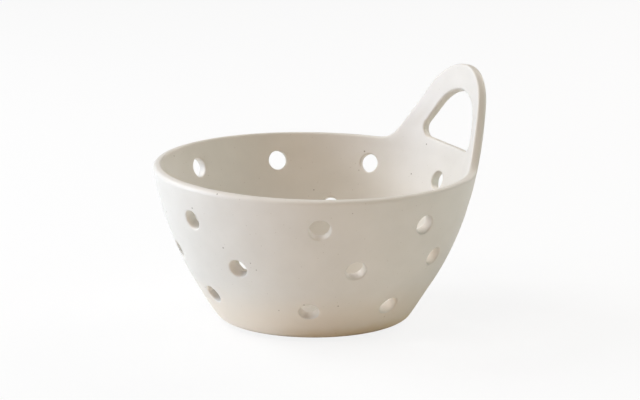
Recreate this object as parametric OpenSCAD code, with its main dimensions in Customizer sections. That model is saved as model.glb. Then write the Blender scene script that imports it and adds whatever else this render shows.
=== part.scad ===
// Berry colander bowl: a small stoneware bowl with punched drain holes and a loop handle on its rim.
// It stands on z = 0 with its axis on Z, and the handle rises from the rim on the +X side.
// The four clay pieces are joined with slip, so they meet face to face with no gap.

/* [Wall] */
// Outer radius of the bowl at its lip
rim_radius = 76; // [66:0.5:90]
// Height of the lip's crest above the table
bowl_height = 74; // [62:0.5:88]
// Thickness of the wall, with a half-round lip
wall_t = 4.2; // [3:0.1:6]
// Outer radius of the flat base, where the wall's turn begins
base_radius = 42.4; // [36:0.1:48]
// Lean of the wall away from upright at the lip, in degrees
rim_lean = 10; // [5:0.5:16]
// Outer radius of the turn from the wall into the foot
corner_r = 5.5; // [5:0.5:12]
// Width of the flat that the wall's foot turns inwards over the foot ring
foot_lap = 7.5; // [6:0.1:9]

/* [Drain holes] */
// Diameter of the holes punched in the wall
wall_hole_d = 9; // [6:0.1:12]
// Height of the lower row of holes above the table
low_row_rise = 18; // [15:0.5:22]
// Drop of the upper row of holes below the lip's crest
high_row_drop = 15; // [13:0.5:20]
// Diameter of the holes in the floor
floor_hole_d = 7; // [4:0.1:9]
// Number of holes in the floor, which stand in one ring
floor_ring_holes = 6; // [4:1:8]
// Distance of that ring of holes from the floor's edge
floor_ring_inset = 14.5; // [8:0.5:16]

/* [Floor and foot] */
// Thickness of the floor
floor_t = 4.2; // [3:0.1:6]
// Height of the foot ring
foot_h = 1.6; // [1:0.1:4]
// Width of the foot ring
foot_w = 5; // [4:0.1:8]
// Distance that the foot ring stands in from the edge of the flat base
foot_inset = 5; // [3:0.1:6]

/* [Handle] */
// Rise of the handle's top above the lip
handle_rise = 40.7; // [36:0.1:52]
// Width of the handle where its straight sides reach the lip
handle_width = 80; // [72:0.5:96]
// Thickness of the handle
handle_t = 4.2; // [3:0.1:6]
// Lean of the handle away from upright, in degrees
handle_lean = 12.6; // [6:0.1:16]
// Radius of the handle's rounded top
handle_top_r = 28.5; // [22:0.5:32]
// Width of the handle's band at its top
band_top = 12.3; // [9:0.1:14]
// Width of the handle's opening where its straight sides reach the sill
opening_width = 56; // [46:0.5:64]
// Radius of the opening's rounded top
opening_top_r = 19; // [14:0.5:24]
// Height of the handle's opening above the lip
sill_h = 3; // [1:0.1:6]
// Radius of the lower corners of the opening
opening_corner_r = 4.5; // [3:0.1:7]
// Radius of the fillets between the handle's sides and the lip
root_fillet = 9; // [3:0.5:12]

/* [Hidden] */
$fn = 96;
// Room by which a cutter passes the face that it cuts
pass = 1;
// Steps along each rounded stretch of an outline
arc_steps = 16;

// Angles of the holes about Z in each row, uneven because they are punched by hand
low_row_angles = [-119, -77.5, -35, 10, 55, 104.5, 144, 187];
mid_row_angles = [-149, -100, -61, -21, 19, 55.5, 96, 130, 169];
high_row_angles = [-167.5, -115, -73, -33, 3, 40, 78, 116.5, 151];

// Heights of the rows, with the middle row halfway between the others
low_row_z = low_row_rise;
high_row_z = bowl_height - high_row_drop;
mid_row_z = (low_row_z + high_row_z) / 2;

// Section of the wall: the one curve that leaves the lip at its lean and runs into the base's turn
lip_r = wall_t / 2;
lip_c = [rim_radius - lip_r, bowl_height - lip_r];
corner_c = [base_radius, foot_h + corner_r];
to_curve = [-cos(rim_lean), sin(rim_lean)];
turn_gap = corner_r - lip_r;
wall_mid = (norm(lip_c - corner_c) ^ 2 - turn_gap ^ 2) / (2 * ((corner_c - lip_c) * to_curve - turn_gap));
wall_curve = wall_mid + lip_r;
curve_c = lip_c + wall_mid * to_curve;
base_lean = asin((curve_c.y - corner_c.y) / (wall_curve - corner_r));
floor_r = base_radius - foot_lap;
floor_ring_r = floor_r - floor_ring_inset;

// Outline of the handle, seen along X: the straight side runs from the lip to the rounded top
seat_z = lip_c.y;
top_z = bowl_height + handle_rise;
top_c = [0, top_z - handle_top_r];
side_foot = [handle_width / 2, bowl_height];
side_taper = taper_from(side_foot, top_c, handle_top_r);
side_n = [cos(side_taper), sin(side_taper)];
fillet_z = bowl_height + root_fillet;
fillet_y = (side_n * side_foot + root_fillet - side_n.y * fillet_z) / side_n.x;

// Outline of the opening, made the same way from its sill to its own rounded top
sill_z = bowl_height + sill_h;
opening_top_c = [0, top_z - band_top - opening_top_r];
opening_foot = [opening_width / 2, sill_z];
opening_taper = taper_from(opening_foot, opening_top_c, opening_top_r);
opening_n = [cos(opening_taper), sin(opening_taper)];
opening_corner_z = sill_z + opening_corner_r;
opening_corner_y = (opening_n * opening_foot - opening_corner_r - opening_n.y * opening_corner_z) / opening_n.x;

// Points of an arc about c, from angle a to angle b
function arc(c, r, a, b) =
    [for (i = [0 : arc_steps]) let (t = a + (b - a) * i / arc_steps) c + r * [cos(t), sin(t)]];
// Points without the first, for a stretch that begins where the last one ended
function after(points) = [for (i = [1 : len(points) - 1]) points[i]];
// The same points on the other side of the middle, in the order that carries an outline on
function mirrored(points) =
    [for (i = [len(points) - 1 : -1 : 0]) [-points[i].x, points[i].y]];
// Turn of a straight side's normal, for a side that runs from its foot to touch a circle about c
function taper_from(foot, c, r) = let (run = foot - c) atan2(run.y, run.x) + acos(r / norm(run));
// Lean of the wall from upright at the height z on its middle surface, and its radius there
function lean_at(z) = asin((curve_c.y - z) / wall_mid);
function radius_at(z) = curve_c.x + wall_mid * cos(lean_at(z));

// Section of the wall: up the outside from the foot, round the lip and down the inside
module wall_section() {
    polygon(concat(
        [[floor_r, foot_h]],
        arc(corner_c, corner_r, -90, -base_lean),
        after(arc(curve_c, wall_curve, -base_lean, -rim_lean)),
        after(arc(lip_c, lip_r, -rim_lean, 180 - rim_lean)),
        after(arc(curve_c, wall_curve - wall_t, -rim_lean, -base_lean)),
        after(arc(corner_c, corner_r - wall_t, -base_lean, -90)),
        [[floor_r, foot_h + wall_t]]
    ));
}

// Holes punched square through the wall, in one row
module punched_row(z, angles) {
    for (a = angles)
        rotate(a) translate([radius_at(z), 0, z]) rotate([0, 90 + lean_at(z), 0])
            cylinder(h = 3 * wall_t, d = wall_hole_d, center = true);
}

// Place of the handle's flat seat in the rim
module seat_cut() {
    translate([0, -fillet_y, seat_z])
        cube([rim_radius + pass, 2 * fillet_y, bowl_height]);
}

// Flared wall with a rounded lip, a turned-in foot and three rows of drain holes
module bowl_wall() {
    color("#e6e1d7") difference() {
        rotate_extrude() wall_section();
        punched_row(low_row_z, low_row_angles);
        punched_row(mid_row_z, mid_row_angles);
        punched_row(high_row_z, high_row_angles);
        seat_cut();
    }
}

// Floor disc that closes the wall's foot, with a ring of drain holes round a plain middle
module bowl_floor() {
    color("#ded8cc") translate([0, 0, foot_h]) difference() {
        cylinder(h = floor_t, r = floor_r);
        for (i = [0 : floor_ring_holes - 1])
            rotate((i + 0.5) * 360 / floor_ring_holes) translate([floor_ring_r, 0, -pass])
                cylinder(h = floor_t + 2 * pass, d = floor_hole_d);
    }
}

// Bare clay ring under the joint of wall and floor, set back from the edge so that it stays out of sight
module foot_ring() {
    foot_r = base_radius - foot_inset;
    color("#b79f7c") difference() {
        cylinder(h = foot_h, r = foot_r);
        translate([0, 0, -pass]) cylinder(h = foot_h + 2 * pass, r = foot_r - foot_w);
    }
}

// Outline of the handle, from one fillet over the rounded top to the other
module handle_outline() {
    half = concat(
        [[fillet_y, seat_z]],
        arc([fillet_y, fillet_z], root_fillet, 270, 180 + side_taper),
        arc(top_c, handle_top_r, side_taper, 90)
    );
    polygon(concat(half, after(mirrored(half))));
}

// Rounded triangle of the opening, which fingers go through
module opening_outline() {
    half = concat(
        arc([opening_corner_y, opening_corner_z], opening_corner_r, -90, opening_taper),
        arc(opening_top_c, opening_top_r, opening_taper, 90)
    );
    polygon(concat(half, after(mirrored(half))));
}

// Slab of the handle, which goes on up from the wall all round the rim before it is cut to its outline
module handle_slab() {
    half_t = handle_t / 2 / cos(handle_lean);
    rise = top_z - seat_z + pass;
    flare = rise * tan(handle_lean);
    rotate_extrude() polygon([
        [lip_c.x - half_t, seat_z],
        [lip_c.x + half_t, seat_z],
        [lip_c.x + half_t + flare, seat_z + rise],
        [lip_c.x - half_t + flare, seat_z + rise]
    ]);
}

// Loop handle that stands on its seat in the rim
module handle_loop() {
    color("#e6e1d7") intersection() {
        handle_slab();
        rotate([90, 0, 90]) linear_extrude(2 * rim_radius) difference() {
            handle_outline();
            opening_outline();
        }
    }
}

bowl_wall();
bowl_floor();
foot_ring();
handle_loop();
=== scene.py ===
import bmesh
import bpy
import math
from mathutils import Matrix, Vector, noise


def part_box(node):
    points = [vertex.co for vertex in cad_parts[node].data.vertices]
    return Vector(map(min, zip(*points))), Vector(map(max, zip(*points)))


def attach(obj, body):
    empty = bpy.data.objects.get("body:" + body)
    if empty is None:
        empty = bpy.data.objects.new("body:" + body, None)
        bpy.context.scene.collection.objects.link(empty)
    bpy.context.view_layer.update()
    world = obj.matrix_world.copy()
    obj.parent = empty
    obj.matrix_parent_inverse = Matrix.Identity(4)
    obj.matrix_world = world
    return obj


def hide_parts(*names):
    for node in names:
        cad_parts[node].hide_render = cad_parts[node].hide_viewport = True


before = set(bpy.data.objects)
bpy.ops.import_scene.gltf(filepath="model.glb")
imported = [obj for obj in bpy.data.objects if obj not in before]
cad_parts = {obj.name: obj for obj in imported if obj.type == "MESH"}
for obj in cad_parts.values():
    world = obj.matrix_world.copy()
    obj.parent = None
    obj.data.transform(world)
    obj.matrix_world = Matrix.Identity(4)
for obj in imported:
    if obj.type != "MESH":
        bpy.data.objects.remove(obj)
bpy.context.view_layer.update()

# Bowl wall: the flared side of the bowl, thrown in stoneware clay with a soft lip and a turned-in foot.
# It is made here as the middle sheet of the clay, and gets its thickness together with floor and handle.
# Its drain holes are punched one by one with a hollow punch, so their places are a little uneven.
mm = 0.001
wall_t = 4.2 * mm
half_t = wall_t / 2
outer_curve = 160 * mm
outer_corner = 5 * mm
foot_lap = 7.5 * mm
rim_lean = math.radians(10)
rim_r = -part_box("bowl_wall")[0].x
crest_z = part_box("bowl_wall")[1].z
foot_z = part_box("foot_ring")[1].z
floor_z = foot_z + half_t
wall_curve = outer_curve - half_t
corner_r = outer_corner - half_t
lip_r = rim_r - half_t
lip_z = crest_z - half_t
curve_r = lip_r - wall_curve * math.cos(rim_lean)
curve_z = lip_z + wall_curve * math.sin(rim_lean)
corner_z = floor_z + corner_r
base_lean = math.asin((curve_z - corner_z) / (wall_curve - corner_r))
base_r = curve_r + (wall_curve - corner_r) * math.cos(base_lean)
floor_r = base_r - foot_lap

# The section of the wall, from the floor's edge round the foot and up to the lip's crest
columns = 288
lap_rows = 6
corner_rows = 6
wall_rows = 56
column_turn = math.tau / columns
row_turn = (base_lean - rim_lean) / wall_rows
section = [(floor_r + (base_r - floor_r) * i / lap_rows, floor_z) for i in range(lap_rows + 1)]
for i in range(1, corner_rows + 1):
    turn = -math.pi / 2 + (math.pi / 2 - base_lean) * i / corner_rows
    section.append((base_r + corner_r * math.cos(turn), corner_z + corner_r * math.sin(turn)))
for i in range(1, wall_rows + 1):
    turn = row_turn * i - base_lean
    section.append((curve_r + wall_curve * math.cos(turn), curve_z + wall_curve * math.sin(turn)))
section.append((lip_r + half_t * math.sin(rim_lean), lip_z + half_t * math.cos(rim_lean)))

# One point drawn out along the section, then turned round the axis as on a wheel
seam_gap = 0.01 * mm
bpy.ops.object.select_all(action="DESELECT")
bpy.ops.mesh.primitive_plane_add(size=mm, location=(section[0][0], 0, section[0][1]))
wall = bpy.context.object
wall.name = "thrown_bowl_wall"
bpy.ops.object.transform_apply(location=True)
bpy.ops.object.mode_set(mode="EDIT")
bpy.ops.mesh.merge(type="CENTER")
for (r0, z0), (r1, z1) in zip(section, section[1:]):
    bpy.ops.mesh.extrude_region_move(TRANSFORM_OT_translate={"value": (r1 - r0, 0, z1 - z0)})
bpy.ops.mesh.select_all(action="SELECT")
bpy.ops.mesh.spin(steps=columns, angle=math.tau, center=(0, 0, 0), axis=(0, 0, 1))
bpy.ops.mesh.select_all(action="SELECT")
bpy.ops.mesh.remove_doubles(threshold=seam_gap)

# Drain holes in the wall: the turn about the axis in degrees, and the height and radius in millimetres
wall_holes = [
    (-119, 18, 4.5), (-77.5, 18, 4.7), (-35, 18.5, 4.5), (10, 17.5, 4.5),
    (55, 18.5, 4.5), (104.5, 16.5, 4.5), (144, 18.5, 4.5), (187, 20, 4.4),
    (-149, 38, 4.5), (-100, 39.5, 4.7), (-61, 40.5, 4.5), (-21, 38.5, 4.5),
    (19, 39.5, 4.5), (55.5, 38.8, 4.5), (96, 38.5, 4.5), (130, 39, 4.5), (169, 37.5, 4.5),
    (-167.5, 58, 4.5), (-115, 60.5, 4.9), (-73, 59, 4.6), (-33, 58.5, 4.5),
    (3, 59, 4.5), (40, 60.5, 4.6), (78, 60.5, 4.7), (116.5, 62, 4.6), (151, 59.5, 4.5),
]


def wall_place(p):
    """Column and row of a point on the turned wall, as fractions."""
    lean = math.asin((curve_z - p.z) / wall_curve)
    return math.atan2(p.y, p.x) / column_turn, (base_lean - lean) / row_turn


def wall_point(turn, lean):
    """Point on the middle of the wall, at a turn about the axis and a lean on the wall's curve."""
    r = curve_r + wall_curve * math.cos(lean)
    return Vector((r * math.cos(turn), r * math.sin(turn), curve_z - wall_curve * math.sin(lean)))


def columns_off(a, b):
    """Columns from b to a, the short way round."""
    return (a - b + columns / 2) % columns - columns / 2


def loop_turn(u, v):
    """Angle round a hole for a point on the edge of its square of faces, evenly spaced along each side."""
    if abs(u) >= abs(v):
        return math.pi / 4 * v / u + (0 if u > 0 else math.pi)
    return math.pi / 2 - math.pi / 4 * u / v + (0 if v > 0 else math.pi)


# Each hole takes out a small block of faces, whose edge is then drawn to a circle
block_share = 0.97
block_slack = 1.05
punched = []
for turn, height, hole_r in wall_holes:
    turn = math.radians(turn)
    hole_r *= mm
    lean = math.asin((curve_z - height * mm) / wall_curve)
    column, row = wall_place(wall_point(turn, lean))
    column_size = wall_point(turn, lean).xy.length * column_turn
    half_columns = round(block_share * hole_r / column_size)
    half_rows = round(block_share * hole_r / (row_turn * wall_curve))
    punched.append((turn, lean, hole_r, round(column), round(row), half_columns, half_rows))
clay = bmesh.from_edit_mesh(wall.data)
for face in clay.faces:
    column, row = wall_place(face.calc_center_median())
    face.select_set(any(
        abs(columns_off(column, c)) < wide and abs(row - r) < tall for *_, c, r, wide, tall in punched
    ))
bmesh.update_edit_mesh(wall.data)
bpy.ops.mesh.delete(type="FACE")
clay = bmesh.from_edit_mesh(wall.data)
for vert in clay.verts:
    if vert.is_boundary:
        column, row = wall_place(vert.co)
        for turn, lean, hole_r, c, r, wide, tall in punched:
            u = columns_off(column, c) / wide
            v = (row - r) / tall
            if max(abs(u), abs(v)) < block_slack:
                round_turn = loop_turn(u, v)
                hole_lean = lean - hole_r * math.sin(round_turn) / wall_curve
                hole_turn = turn + hole_r * math.cos(round_turn) / wall_point(0, hole_lean).x
                vert.co = wall_point(hole_turn, hole_lean)

# The clay round the holes is relaxed, then pressed back onto the turned surface
relax_reach = 10 * mm
hole_centres = [wall_point(turn, lean) for turn, lean, *_ in punched]
for vert in clay.verts:
    near = min((vert.co - centre).length for centre in hole_centres)
    vert.select_set(near < relax_reach and not vert.is_boundary)
clay.select_flush_mode()
bmesh.update_edit_mesh(wall.data)
bpy.ops.mesh.vertices_smooth(factor=0.5, repeat=12)
clay = bmesh.from_edit_mesh(wall.data)
for vert in clay.verts:
    if vert.select:
        lean = math.asin((curve_z - vert.co.z) / wall_curve)
        vert.co = wall_point(math.atan2(vert.co.y, vert.co.x), lean)
bmesh.update_edit_mesh(wall.data)
bpy.ops.object.mode_set(mode="OBJECT")

# Bowl floor: a flat disc of the same clay that closes the wall's foot.
# It is cut from a rolled slab and luted to the wall, with a ring of six drain holes round a plain middle.
floor_hole_count = 6
floor_hole_r = 3.4 * mm
floor_ring_inset = 14.5 * mm
floor_ring_r = floor_r - floor_ring_inset
uneven_turn = 3
collar_r = 5.4 * mm
hole_points = 40
bpy.ops.object.select_all(action="DESELECT")
bpy.ops.mesh.primitive_circle_add(vertices=columns, radius=floor_r, location=(0, 0, floor_z))
floor = bpy.context.object
floor.name = "slab_bowl_floor"
bpy.ops.object.transform_apply(location=True)
bpy.ops.object.mode_set(mode="EDIT")
floor_holes = []
for i in range(floor_hole_count):
    turn = math.radians(360 / floor_hole_count * (i + 0.5) + uneven_turn * math.sin(5 * i))
    floor_holes.append(Vector((floor_ring_r * math.cos(turn), floor_ring_r * math.sin(turn), floor_z)))
    bpy.ops.mesh.primitive_circle_add(vertices=hole_points, radius=collar_r, location=floor_holes[-1])
bpy.ops.mesh.select_all(action="SELECT")
bpy.ops.mesh.fill(use_beauty=True)

# Each hole is drawn in from a collar, which leaves room for its rounded edge
bpy.ops.mesh.select_mode(type="EDGE")
clay = bmesh.from_edit_mesh(floor.data)
for edge in clay.edges:
    edge.select_set(edge.is_boundary and edge.verts[0].co.xy.length < floor_r - mm)
bmesh.update_edit_mesh(floor.data)
bpy.ops.mesh.extrude_edges_move()
clay = bmesh.from_edit_mesh(floor.data)
for vert in clay.verts:
    if vert.select:
        near = min(floor_holes, key=lambda centre: (vert.co - centre).length)
        vert.co = near + (vert.co - near) * floor_hole_r / collar_r
bmesh.update_edit_mesh(floor.data)
bpy.ops.mesh.select_mode(type="VERT")
bpy.ops.object.mode_set(mode="OBJECT")

# Handle: a loop of the same clay that goes on up from the rim and leans out with the wall.
# Its rounded triangle is cut from a slab with an opening for the fingers, and its roots run into the lip.
# Sizes that differ from side to side are given for 1, the +Y side, and for -1.
handle_lean = math.radians(12.6)
handle_half = 40 * mm
handle_top_r = 28.5 * mm
band_top = 12.3 * mm
root_fillet = 9 * mm
sill_h = 3 * mm
opening_top_r = 21 * mm
opening_shift = -2 * mm
opening_halves = {1: 27.9 * mm, -1: 25.5 * mm}
corner_rounds = {1: 4.2 * mm, -1: 6.5 * mm}
sill_lifts = {1: 1 * mm, -1: 0.4 * mm}
sill_z = crest_z + sill_h
handle_top_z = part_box("handle_loop")[1].z
top_c = Vector((0, handle_top_z - handle_top_r))
opening_c = Vector((0, handle_top_z - band_top - opening_top_r))


def side_taper(foot, centre, r):
    """Lean of the straight side that runs from its foot to touch a rounded top, and its normal."""
    run = foot - centre
    taper = math.atan2(run.y, run.x) + math.acos(r / run.length)
    return taper, Vector((math.cos(taper), math.sin(taper)))


def on_circle(centre, r, turn):
    """Point of a circle in the handle's outline, seen along X."""
    return centre + r * Vector((math.cos(turn), math.sin(turn)))


side_foot = Vector((handle_half, crest_z))
taper, side_n = side_taper(side_foot, top_c, handle_top_r)
fillet_c = Vector((0, crest_z + root_fillet))
fillet_c.x = (side_n.dot(side_foot) + root_fillet - side_n.y * fillet_c.y) / side_n.x

# Half the outer edge and each half of the opening's edge, step by step from the root to the top
root_steps = 6
side_steps = 9
top_steps = 18
half_steps = root_steps + side_steps + top_steps
corner_columns = 4
sill_turn = math.radians(-35)
root_foot = on_circle(fillet_c, root_fillet, math.pi + taper)
side_end = top_c + handle_top_r * side_n
outer_edge = []
for i in range(root_steps + side_steps):
    outer_edge.append(root_foot.lerp(side_end, i / (root_steps + side_steps)))
for i in range(top_steps + 1):
    outer_edge.append(on_circle(top_c, handle_top_r, taper + (math.pi / 2 - taper) * i / top_steps))
sill_flats = {}
sill_rounds = {1: [], -1: []}
opening_edges = {1: [], -1: []}
for side, corner_round in corner_rounds.items():
    opening_foot = Vector((opening_halves[side], sill_z + sill_lifts[side]))
    opening_taper, opening_n = side_taper(opening_foot, opening_c, opening_top_r)
    corner_mid = Vector((0, opening_foot.y + corner_round))
    corner_mid.x = (opening_n.dot(opening_foot) - corner_round - opening_n.y * corner_mid.y) / opening_n.x
    corner_end = corner_mid + corner_round * opening_n
    opening_end = opening_c + opening_top_r * opening_n
    sill_flats[side] = corner_mid.x + side * opening_shift
    for i in range(1, corner_columns + 1):
        turn = -math.pi / 2 + (sill_turn + math.pi / 2) * i / corner_columns
        sill_rounds[side].append(on_circle(corner_mid, corner_round, turn))
    for i in range(root_steps):
        turn = sill_turn + (opening_taper - sill_turn) * i / root_steps
        opening_edges[side].append(on_circle(corner_mid, corner_round, turn))
    for i in range(side_steps):
        opening_edges[side].append(corner_end.lerp(opening_end, i / side_steps))
    for i in range(top_steps + 1):
        turn = opening_taper + (math.pi / 2 - opening_taper) * i / top_steps
        opening_edges[side].append(on_circle(opening_c, opening_top_r, turn))
    for point in sill_rounds[side] + opening_edges[side]:
        point.x += side * opening_shift

# The band of the arch is cut in cells, with wider ones along both edges that leave room for the rounding
sill_half = (opening_edges[1][0].x + opening_edges[-1][0].x) / 2
sill_columns = round(math.asin(sill_half / rim_r) / column_turn)
root_columns = round(math.asin(root_foot.x / rim_r) / column_turn)
fillet_columns = math.ceil(math.asin(fillet_c.x / lip_r) / column_turn)
band_cells = root_columns - sill_columns
root_edge_share = 0.13
arch_edge_more = 0.09


def handle_point(outline, side):
    """Point on the middle of the handle's slab, which follows the rim's round, from its outline."""
    r = lip_r + (outline.y - lip_z) * math.tan(handle_lean)
    y = outline.x * side
    return Vector((math.sqrt(r * r - y * y), y, outline.y))


def band_share(cell, step):
    """Share of the band's width at a cell's edge, counted from the opening."""
    edge = root_edge_share + arch_edge_more * min(step / root_steps, 1)
    if cell == 0 or cell == band_cells:
        return cell / band_cells
    return edge + (1 - 2 * edge) * (cell - 1) / (band_cells - 2)


# The band starts as a flat grid, laid over the top from one root to the other
bpy.ops.object.select_all(action="DESELECT")
bpy.ops.mesh.primitive_grid_add(x_subdivisions=band_cells, y_subdivisions=2 * half_steps, size=1)
handle = bpy.context.object
handle.name = "slab_loop_handle"
knife_name = "knife_cut"
knife = handle.vertex_groups.new(name=knife_name)
for vert in handle.data.vertices:
    cell = round((vert.co.x + 0.5) * band_cells)
    step = round((vert.co.y + 0.5) * 2 * half_steps)
    side = 1 if step <= half_steps else -1
    step = min(step, 2 * half_steps - step)
    vert.co = handle_point(opening_edges[side][step].lerp(outer_edge[step], band_share(cell, step)), side)
    slant = min(1, step / root_steps) if side == 1 else max(0, 1 - (half_steps - step) / top_steps)
    knife.add([vert.index], slant * max(0, 1 - 2 * max(0, cell - 1) / band_cells), "REPLACE")

# The rim under it is drawn up to the sill, to the roots and along the fillets
shift_rows = 8
flat_columns = sill_columns - corner_columns
for vert in wall.data.vertices:
    column, row = wall_place(vert.co)
    side = 1 if column > 0 else -1
    column = abs(column)
    if row > wall_rows - shift_rows and column < fillet_columns + 0.1:
        share = max(0, min(1, 1 - (wall_rows - row) / shift_rows))
        if sill_columns < column < root_columns:
            cell = round(column) - sill_columns
            spread = sill_columns + band_cells * band_share(cell, 0)
            column += (spread - column) * share
        if row > wall_rows + 0.5:
            column = round(abs(math.atan2(vert.co.y, vert.co.x)) / column_turn)
            if column <= flat_columns:
                along = column / flat_columns
                outline = Vector((sill_flats[side] * along, sill_z + sill_lifts[side] * along ** 2))
            elif column <= sill_columns:
                outline = sill_rounds[side][column - flat_columns - 1]
            elif column <= root_columns:
                outline = opening_edges[side][0].lerp(outer_edge[0], band_share(column - sill_columns, 0))
            else:
                outline = Vector((abs(vert.co.y), crest_z))
                reach = max(0, fillet_c.x - outline.x)
                outline.y = fillet_c.y - math.sqrt(root_fillet ** 2 - reach ** 2)
            vert.co = handle_point(outline, side)
        else:
            turn = side * column * column_turn
            r = vert.co.xy.length
            vert.co = (r * math.cos(turn), r * math.sin(turn), vert.co.z)

# Clay body: the three sheets are luted together with slip, thickened to a slab and softened with a sponge.
# Lip, handle and hole edges get their own rounding, and the body leans and waves a little as handwork does.
# At the end it is parted again into wall, floor and handle, as closed pieces that meet at their joints.
slip_gap = 0.02 * mm
bpy.ops.object.select_all(action="DESELECT")
handle.select_set(True)
floor.select_set(True)
wall.select_set(True)
bpy.context.view_layer.objects.active = wall
bpy.ops.object.join()
body = wall
bpy.ops.object.mode_set(mode="EDIT")
bpy.ops.mesh.select_all(action="SELECT")
bpy.ops.mesh.remove_doubles(threshold=slip_gap)
bpy.ops.mesh.normals_make_consistent(inside=False)
bpy.ops.object.mode_set(mode="OBJECT")

# Which of the three pieces each face of the sheet belongs to, kept as its material index
wall_piece = 0
floor_piece = 1
handle_piece = 2
for face in body.data.polygons:
    turn = abs(math.atan2(face.center.y, face.center.x))
    if face.center.xy.length < floor_r and face.center.z < floor_z + mm:
        face.material_index = floor_piece
    elif face.center.z > lip_z and turn < fillet_columns * column_turn:
        face.material_index = handle_piece
    else:
        face.material_index = wall_piece


def ramp(value, start, length):
    """Share from 0 to 1 of a length that a value has gone past its start."""
    return max(0, min(1, (value - start) / length))


# The thickness: the wall swells between foot and lip, and the handle is a little thicker than the lip
thick_t = 5.1 * mm
swell_foot_z = 6 * mm
swell_rise = 8 * mm
swell_top_z = 69 * mm
swell_fade = 16 * mm
handle_extra_t = 0.3 * mm
handle_extra_z = 2 * mm
handle_extra_rise = 8 * mm

# The thrower's hand: the rim is higher on one side and out of round, the base is set over to one side,
# the wall has a slight waist above the foot and a flatter belly on the high side, and its surface waves
rim_tilt = 1.5 * mm
tilt_turn = math.radians(153)
lean_turn = math.radians(-27)
body_lean = 0.9 * mm * Vector((math.cos(lean_turn), math.sin(lean_turn), 0))
base_step = 0.6 * mm * body_lean.normalized()
base_step_h = 12 * mm
waist = 0.45 * mm
waist_z = 16 * mm
waist_h = 9 * mm
flat_belly = 0.6 * mm
oval = 0.25 * mm
oval_turn = 0.6
three_sided = 0.15 * mm
three_sided_turn = 2.2
wave = 0.22 * mm
wave_size = 32 * mm
wave_foot_z = 8 * mm
wave_rise = 20 * mm
thickness = body.vertex_groups.new(name="thickness")
normals = [vert.normal.copy() for vert in body.data.vertices]
for vert, normal in zip(body.data.vertices, normals):
    z = vert.co.z
    turn = math.atan2(vert.co.y, vert.co.x)
    outward = Vector((math.cos(turn), math.sin(turn), 0))
    share = min(z / crest_z, 1)
    fade = 1 - max(0, z - crest_z) / (handle_top_z - crest_z)
    swell = ramp(swell_top_z, z, swell_fade) * ramp(z, swell_foot_z, swell_rise)
    clay_t = wall_t + (thick_t - wall_t) * swell
    clay_t += handle_extra_t * ramp(z - crest_z, handle_extra_z, handle_extra_rise)
    thickness.add([vert.index], clay_t / thick_t, "REPLACE")
    moved = normal * wave * ramp(z, wave_foot_z, wave_rise) * noise.noise(vert.co / wave_size)
    moved -= normal * (clay_t - wall_t) / 2
    moved.z += rim_tilt * share * fade * math.cos(turn - tilt_turn)
    moved += body_lean * share + base_step * max(0, 1 - z / base_step_h)
    moved -= outward * waist * math.exp(-((z - waist_z) / waist_h) ** 2)
    moved -= outward * flat_belly * max(0, math.cos(turn - tilt_turn)) * math.sin(math.pi * share)
    moved += outward * share * oval * math.cos(2 * turn + oval_turn)
    moved += outward * share * three_sided * math.cos(3 * turn + three_sided_turn)
    vert.co += moved

# Thickness of the slab, half to each side of the sheet
for i in (wall_piece, floor_piece, handle_piece):
    body.data.materials.append(None)
thick = body.modifiers.new("slab_thickness", "SOLIDIFY")
thick.thickness = thick_t
thick.vertex_group = thickness.name
thick.offset = 0
thick.use_even_offset = True
bpy.ops.object.select_all(action="DESELECT")
body.select_set(True)
bpy.context.view_layer.objects.active = body
bpy.ops.object.modifier_apply(modifier=thick.name)

# The opening is cut with the knife held aslant on its far side, so that it is wider on the bowl's side
knife_slant = 0.9 * mm
opening_mid_h = 13 * mm
opening_mid = Vector((0, opening_shift, sill_z + opening_mid_h))
knife_group = body.vertex_groups[knife_name].index
for vert in body.data.vertices:
    slant = sum(group.weight for group in vert.groups if group.group == knife_group)
    if slant > 0 and vert.normal.xy.dot(vert.co.xy) < 0:
        away = vert.co - opening_mid
        away.x = 0
        vert.co += knife_slant * slant * away.normalized()

# Towards the handle's near root the lip's outer edge is drawn up, and its top slopes to the inside.
# Where that begins and ends is given as turns about the axis in degrees.
drawn_up = 1.7 * mm
drawn_reach = 13 * mm
drawn_from = -95
drawn_rise = 40
drawn_to = -41
drawn_fall = 10
for vert in body.data.vertices:
    turn = math.degrees(math.atan2(vert.co.y, vert.co.x))
    along = min(ramp(turn, drawn_from, drawn_rise), ramp(drawn_to, turn, drawn_fall))
    up = ramp(vert.co.z, crest_z - drawn_reach, drawn_reach)
    if along * up > 0 and vert.normal.xy.dot(vert.co.xy) > 0:
        vert.co.z += drawn_up * along * up

# Rounding of the edges: most outside on the lip, less on the handle and the inner edge, least at the holes.
# The handle's runs out into the lip's from the root's turn on, in degrees.
lip_round = 1.85 * mm
handle_round = 1.4 * mm
inner_round = 1 * mm
hole_round = 0.75 * mm
sharp_edge = math.radians(50)
holes_top_z = 68 * mm
root_turn = 33
root_run_out = 12
clay = bmesh.new()
clay.from_mesh(body.data)
weight = clay.edges.layers.float.new("bevel_weight_edge")
for edge in clay.edges:
    if len(edge.link_faces) == 2 and edge.calc_face_angle() > sharp_edge:
        mid = (edge.verts[0].co + edge.verts[1].co) / 2
        facing = sum((face.normal for face in edge.link_faces), Vector())
        if mid.z < holes_top_z:
            edge[weight] = hole_round / lip_round
        elif facing.xy.dot(mid.xy) < 0:
            edge[weight] = inner_round / lip_round
        else:
            turn = math.degrees(abs(math.atan2(mid.y, mid.x)))
            far = ramp(turn, root_turn, root_run_out)
            edge[weight] = (handle_round + (lip_round - handle_round) * far) / lip_round
clay.to_mesh(body.data)
clay.free()
soft = body.modifiers.new("sponged_edges", "BEVEL")
soft.limit_method = "WEIGHT"
soft.width = lip_round
soft.segments = 4
soft.use_clamp_overlap = False
bpy.ops.object.modifier_apply(modifier=soft.name)
bpy.ops.object.shade_smooth()

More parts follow.
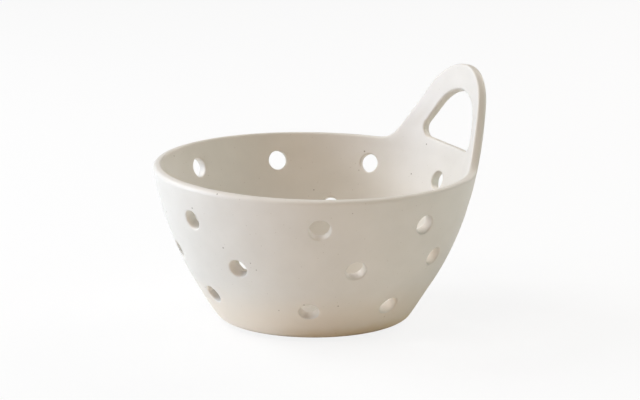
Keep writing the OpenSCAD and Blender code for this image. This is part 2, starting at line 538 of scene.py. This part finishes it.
# The body is parted again along its joints, and each piece keeps the run of the surface across them
kept = body.data.attributes.new("joined_normal", "FLOAT_VECTOR", "POINT")
for vert in body.data.vertices:
    kept.data[vert.index].vector = vert.normal
bpy.ops.object.mode_set(mode="EDIT")
bpy.ops.mesh.select_all(action="SELECT")
bpy.ops.mesh.separate(type="MATERIAL")
bpy.ops.object.mode_set(mode="OBJECT")
for piece in bpy.context.selected_objects:
    heights = [vert.co.z for vert in piece.data.vertices]
    if max(heights) < crest_z / 2:
        floor = piece
    elif min(heights) > crest_z / 2:
        handle = piece
    else:
        wall = piece
floor.name = "slab_bowl_floor"
handle.name = "slab_loop_handle"
wall.name = "thrown_bowl_wall"

# Each piece is closed along its joints, with faces between the two edges that the parting left open
run_share = 0.2
for piece in (wall, floor, handle):
    bpy.ops.object.select_all(action="DESELECT")
    piece.select_set(True)
    bpy.context.view_layer.objects.active = piece
    bpy.ops.object.mode_set(mode="EDIT")
    bpy.ops.mesh.select_all(action="DESELECT")
    bpy.ops.mesh.select_mode(type="EDGE")
    for low_joint in (True, False):
        clay = bmesh.from_edit_mesh(piece.data)
        for edge in clay.edges:
            turns = [math.atan2(vert.co.y, vert.co.x) for vert in edge.verts]
            runs_round = abs(math.remainder(turns[0] - turns[1], math.tau)) > run_share * column_turn
            low = edge.verts[0].co.z < crest_z / 2
            edge.select_set(edge.is_boundary and runs_round and low == low_joint)
        clay.select_flush_mode()
        chosen = any(edge.select for edge in clay.edges)
        bmesh.update_edit_mesh(piece.data)
        if chosen:
            bpy.ops.mesh.bridge_edge_loops()
    bpy.ops.mesh.select_all(action="SELECT")
    bpy.ops.mesh.fill_holes(sides=0)
    bpy.ops.mesh.select_all(action="SELECT")
    bpy.ops.mesh.normals_make_consistent(inside=False)
    bpy.ops.object.mode_set(mode="OBJECT")
    kept = piece.data.attributes["joined_normal"]
    piece.data.normals_split_custom_set_from_vertices([tuple(item.vector) for item in kept.data])
    piece.data.attributes.remove(kept)
    piece.data.materials.clear()

# Stoneware glaze: the satin off-white coat of wall, floor and handle, poured on and fired with the clay.
# It scatters light softly, so its highlights are broad, its white is slightly clouded,
# and iron from the clay comes through it in small specks.
cloud_size = 14 * mm
cloud_pale = "#E8E3DA"
cloud_deep = "#DDD8CE"


def linear(code):
    """Linear colour of an sRGB hex value."""
    parts = [int(code[i:i + 2], 16) / 255 for i in (1, 3, 5)]
    return tuple(c / 12.92 if c <= 0.04045 else ((c + 0.055) / 1.055) ** 2.4 for c in parts) + (1,)


def add_node(tree, kind, values=None, links=None, **settings):
    """Adds a node with its settings, the values of its sockets, and links from other nodes' outputs."""
    node = tree.nodes.new(kind)
    for name, value in settings.items():
        setattr(node, name, value)
    for socket, value in (values or {}).items():
        node.inputs[socket].default_value = value
    for socket, source in (links or {}).items():
        tree.links.new(source, node.inputs[socket])
    return node


glaze = bpy.data.materials.new("satin_stoneware_glaze")
glaze.use_nodes = True
tree = glaze.node_tree
shader = tree.nodes["Principled BSDF"]
surface = add_node(tree, "ShaderNodeTexCoord")
place = surface.outputs["Object"]
cloud = add_node(tree, "ShaderNodeTexNoise", {"Scale": 1 / cloud_size, "Detail": 3}, {"Vector": place})
colour = add_node(tree, "ShaderNodeMix", {"A": linear(cloud_pale), "B": linear(cloud_deep)},
                  {"Factor": cloud.outputs["Fac"]}, data_type="RGBA").outputs["Result"]

# Iron specks: grains of ore that bleed through the glaze, a few large ones and many faint fine ones,
# each kind with the spacing and radius of its grains, its strength and its colour
specks = (
    (8.6 * mm, 0.45 * mm, 0.7, "#7E6C55"),
    (3.6 * mm, 0.25 * mm, 0.3, "#9A8A72"),
)
speck_core = 0.55
speck_edge = 1.2
for spacing, speck_r, strength, stain in specks:
    grain = add_node(tree, "ShaderNodeTexVoronoi", {"Scale": 1 / spacing, "Randomness": 1},
                     {"Vector": place})
    speck = add_node(tree, "ShaderNodeMapRange",
                     {"From Min": speck_core * speck_r / spacing,
                      "From Max": speck_edge * speck_r / spacing,
                      "To Min": strength, "To Max": 0},
                     {"Value": grain.outputs["Distance"]}, interpolation_type="SMOOTHSTEP")
    colour = add_node(tree, "ShaderNodeMix", {"B": linear(stain)},
                      {"Factor": speck.outputs[0], "A": colour}, data_type="RGBA").outputs["Result"]

# The height above the table, made uneven, and the share of each face that looks down and so lies outside
ragged_size = 9 * mm
ragged_h = 4 * mm
height = add_node(tree, "ShaderNodeSeparateXYZ", None, {0: place}).outputs["Z"]
ragged = add_node(tree, "ShaderNodeTexNoise", {"Scale": 1 / ragged_size, "Detail": 4}, {"Vector": place})
lift = add_node(tree, "ShaderNodeMath", {1: ragged_h, 2: -ragged_h / 2}, {0: ragged.outputs["Fac"]},
                operation="MULTIPLY_ADD")
level = add_node(tree, "ShaderNodeMath", None, {0: height, 1: lift.outputs[0]}, operation="SUBTRACT")
facing = add_node(tree, "ShaderNodeSeparateXYZ", None, {0: surface.outputs["Normal"]}).outputs["Z"]
outside = add_node(tree, "ShaderNodeMapRange",
                   {"From Min": -0.15, "From Max": -0.05, "To Min": 1, "To Max": 0},
                   {"Value": facing}, interpolation_type="SMOOTHSTEP")

# Painted warm light: towards the foot, the white of the outer faces that look down is painted warmer, as
# warm light falling there would make it
painted_warm_light = "#ECDDC8"
warm = add_node(tree, "ShaderNodeMapRange",
                {"From Min": 8 * mm, "From Max": 30 * mm, "To Min": 0.6, "To Max": 0},
                {"Value": level.outputs[0]}, interpolation_type="SMOOTHSTEP")
toned = add_node(tree, "ShaderNodeMath", None, {0: warm.outputs[0], 1: outside.outputs[0]},
                 operation="MULTIPLY")
colour = add_node(tree, "ShaderNodeMix", {"B": linear(painted_warm_light)},
                  {"Factor": toned.outputs[0], "A": colour}, data_type="RGBA").outputs["Result"]

# At the foot itself the glaze is wiped thin and the tan of the clay shows in an uneven line; its rise
# towards the camera's right, the side away from the window panels, is painted shade
clay_tan = "#D8BE92"
away_from_windows = (0.89, -0.45, 0)
across = add_node(tree, "ShaderNodeVectorMath", {1: away_from_windows}, {0: place}, operation="DOT_PRODUCT")
shade_side_tan = add_node(tree, "ShaderNodeMapRange",
                 {"From Min": -20 * mm, "From Max": 2 * mm, "To Min": 0.02, "To Max": 0.6},
                 {"Value": across.outputs["Value"]}, interpolation_type="SMOOTHSTEP")
foot_tan_and_shade = add_node(tree, "ShaderNodeMapRange", {"From Min": 1.6 * mm, "From Max": 9 * mm, "To Max": 0},
                {"Value": level.outputs[0], "To Min": shade_side_tan.outputs[0]}, interpolation_type="SMOOTHSTEP")
outer_tan_and_shade = add_node(tree, "ShaderNodeMath", None, {0: foot_tan_and_shade.outputs[0], 1: outside.outputs[0]},
                 operation="MULTIPLY")
colour = add_node(tree, "ShaderNodeMix", {"B": linear(clay_tan)},
                  {"Factor": outer_tan_and_shade.outputs[0], "A": colour}, data_type="RGBA").outputs["Result"]
tree.links.new(colour, shader.inputs["Base Color"])

# The satin breaks up a little where the glaze is thicker, and its skin is not quite smooth
skin_size = 2.2 * mm
skin_depth = 0.06 * mm
satin = add_node(tree, "ShaderNodeMapRange", {"To Min": 0.42, "To Max": 0.54},
                 {"Value": ragged.outputs["Fac"]})
tree.links.new(satin.outputs[0], shader.inputs["Roughness"])
skin = add_node(tree, "ShaderNodeTexNoise", {"Scale": 1 / skin_size, "Detail": 2}, {"Vector": place})
bump = add_node(tree, "ShaderNodeBump", {"Strength": 0.25, "Distance": skin_depth},
                {"Height": skin.outputs["Fac"]})
tree.links.new(bump.outputs[0], shader.inputs["Normal"])

for piece, node in ((wall, "bowl_wall"), (floor, "bowl_floor"), (handle, "handle_loop")):
    piece.data.materials.append(glaze)
    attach(piece, "root")
    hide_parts(node)

# Foot ring: a low ring of bare clay under the joint of wall and floor, trimmed on the wheel.
# It is wiped clean of glaze before the firing, so that the bowl doesn't stick to the kiln's shelf.
foot_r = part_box("foot_ring")[1].x
foot_w = 5 * mm
foot_round = 0.6 * mm
foot_draft = 0.3 * mm
foot_bite = 0.1 * mm
seat_z = foot_z + foot_bite
ring_columns = 144
ring_edge = 0.5
smooth_turn = math.radians(40)
bpy.ops.object.select_all(action="DESELECT")
bpy.ops.mesh.primitive_plane_add(size=mm, location=(foot_r, 0, seat_z))
foot = bpy.context.object
foot.name = "trimmed_foot_ring"
bpy.ops.object.transform_apply(location=True)
bpy.ops.object.mode_set(mode="EDIT")
bpy.ops.mesh.select_mode(type="VERT")
bpy.ops.mesh.merge(type="CENTER")
bpy.ops.mesh.extrude_region_move(TRANSFORM_OT_translate={"value": (-foot_draft, 0, -seat_z)})
bpy.ops.mesh.extrude_region_move(TRANSFORM_OT_translate={"value": (2 * foot_draft - foot_w, 0, 0)})
bpy.ops.mesh.extrude_region_move(TRANSFORM_OT_translate={"value": (-foot_draft, 0, seat_z)})
bpy.ops.mesh.extrude_region_move(TRANSFORM_OT_translate={"value": (foot_w, 0, 0)})
bpy.ops.mesh.select_all(action="SELECT")
bpy.ops.mesh.spin(steps=ring_columns, angle=math.tau, center=(0, 0, 0), axis=(0, 0, 1))
bpy.ops.mesh.select_all(action="SELECT")
bpy.ops.mesh.remove_doubles(threshold=seam_gap)
bpy.ops.mesh.normals_make_consistent(inside=False)
bpy.ops.mesh.select_mode(type="EDGE")
clay = bmesh.from_edit_mesh(foot.data)
for edge in clay.edges:
    on_table = all(vert.co.z < foot_bite for vert in edge.verts)
    edge.select_set(on_table and edge.calc_face_angle() > ring_edge)
bmesh.update_edit_mesh(foot.data)
bpy.ops.mesh.bevel(offset=foot_round, segments=4, affect="EDGES")
bpy.ops.object.mode_set(mode="OBJECT")
bpy.ops.object.shade_smooth_by_angle(angle=smooth_turn)

# Bare stoneware: buff clay fired without glaze, so it is matte and rough to the eye.
# The sand in it is drawn a little coarser than it is, so that it shows.
sand_size = 0.9 * mm
sand_depth = 0.12 * mm
sand_pale = "#C2AC8A"
sand_deep = "#A48B67"
clay_body = bpy.data.materials.new("bare_stoneware")
clay_body.use_nodes = True
tree = clay_body.node_tree
shader = tree.nodes["Principled BSDF"]
place = add_node(tree, "ShaderNodeTexCoord").outputs["Object"]
sand = add_node(tree, "ShaderNodeTexNoise", {"Scale": 1 / sand_size, "Detail": 4}, {"Vector": place})
buff = add_node(tree, "ShaderNodeMix", {"A": linear(sand_pale), "B": linear(sand_deep)},
                {"Factor": sand.outputs["Fac"]}, data_type="RGBA")
tree.links.new(buff.outputs["Result"], shader.inputs["Base Color"])
grain = add_node(tree, "ShaderNodeBump", {"Strength": 0.5, "Distance": sand_depth},
                 {"Height": sand.outputs["Fac"]})
tree.links.new(grain.outputs[0], shader.inputs["Normal"])
shader.inputs["Roughness"].default_value = 0.9
foot.data.materials.append(clay_body)
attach(foot, "root")
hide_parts("foot_ring")

# Studio: a pale floor of matte paper in a white surround, with soft panels of light round the bowl.
# The strongest stand on the left, as a window does, and the others fill the front, the right and the back.
# Floor and surround are white to the camera, and the floor keeps the bowl's shadow.
floor_size = 8
white_share = 0.85
bpy.ops.object.select_all(action="DESELECT")
bpy.ops.mesh.primitive_plane_add(size=floor_size)
table = bpy.context.object
table.name = "studio_floor"
paper = bpy.data.materials.new("white_studio_paper")
paper.use_nodes = True
tree = paper.node_tree
shader = tree.nodes["Principled BSDF"]
shader.inputs["Base Color"].default_value = linear("#F2F2F0")
shader.inputs["Roughness"].default_value = 0.9
path = add_node(tree, "ShaderNodeLightPath")
glow = add_node(tree, "ShaderNodeEmission", {"Color": linear("#FFFFFF"), "Strength": 1})
share = add_node(tree, "ShaderNodeMath", {1: white_share}, {0: path.outputs["Is Camera Ray"]},
                 operation="MULTIPLY")
both = add_node(tree, "ShaderNodeMixShader", None,
                {0: share.outputs[0], 1: shader.outputs[0], 2: glow.outputs[0]})
tree.links.new(both.outputs[0], tree.nodes["Material Output"].inputs["Surface"])
table.data.materials.append(paper)

world = bpy.data.worlds.new("studio_surround")
bpy.context.scene.world = world
world.use_nodes = True
tree = world.node_tree
surround = tree.nodes["Background"]
surround.inputs["Color"].default_value = linear("#FFF4E4")
surround.inputs["Strength"].default_value = 0.02
path = add_node(tree, "ShaderNodeLightPath")
white = add_node(tree, "ShaderNodeBackground", {"Color": linear("#FFFFFF"), "Strength": 1})
both = add_node(tree, "ShaderNodeMixShader", None,
                {0: path.outputs["Is Camera Ray"], 1: surround.outputs[0], 2: white.outputs[0]})
tree.links.new(both.outputs[0], tree.nodes["World Output"].inputs["Surface"])

# The camera, from the fit of the bowl's rim, foot and holes to the photograph
view_turn = math.radians(-27)
view_rise = math.radians(13.99)
view_far = 1501.5 * mm
bowl_mid = Vector((0, 0, 37.05 * mm))
aim_right = 3.5 * mm
aim_up = 19.36 * mm
back = Vector((math.sin(view_turn) * math.cos(view_rise), -math.cos(view_turn) * math.cos(view_rise),
               math.sin(view_rise)))
to_right = Vector((math.cos(view_turn), math.sin(view_turn), 0))
to_top = back.cross(to_right)
middle = bowl_mid + aim_right * to_right + aim_up * to_top
camera = bpy.data.objects.new("photo_camera", bpy.data.cameras.new("photo_camera"))
bpy.context.collection.objects.link(camera)
camera.location = bowl_mid + back * view_far
camera.rotation_mode = "QUATERNION"
camera.rotation_quaternion = (middle - camera.location).to_track_quat("-Z", "Y")
camera.data.lens = 178.06
camera.data.sensor_width = 36
bpy.context.scene.camera = camera

# Square panels round the bowl: turn from the camera about the bowl, rise, power in watts and colour
panels = {
    "window_high": (-112, 38, 12.3, "#F6F9FF"),
    "window_low": (-85, 6, 12.8, "#D0E4FF"),
    "front_top": (-45, 56, 6.4, "#FFF6EC"),
    "overhead": (0, 90, 2, "#FFF9F3"),
    "back_right": (135, 30, 7.2, "#FFF6F4"),
    "right_fill": (75, 18, 3.5, "#E4FFFC"),
    "front_low": (15, 6, 3, "#FFCA9E"),
}
panel_size = 0.7
panel_far = 1.4
panel_aim = Vector((0, 0, 50 * mm))
toward = Vector((back.x, back.y, 0)).normalized()
for name, (turn, rise, power, tint) in panels.items():
    turn = math.radians(turn)
    rise = math.radians(rise)
    level_way = toward * math.cos(turn) + to_right * math.sin(turn)
    way = level_way * math.cos(rise) + Vector((0, 0, math.sin(rise)))
    panel = bpy.data.objects.new(name, bpy.data.lights.new(name, "AREA"))
    bpy.context.collection.objects.link(panel)
    panel.data.shape = "SQUARE"
    panel.data.size = panel_size
    panel.data.energy = power
    panel.data.color = linear(tint)[:3]
    panel.location = panel_aim + way * panel_far
    panel.rotation_mode = "QUATERNION"
    panel.rotation_quaternion = (-way).to_track_quat("-Z", "Y")

bpy.context.scene.view_settings.view_transform = "Standard"
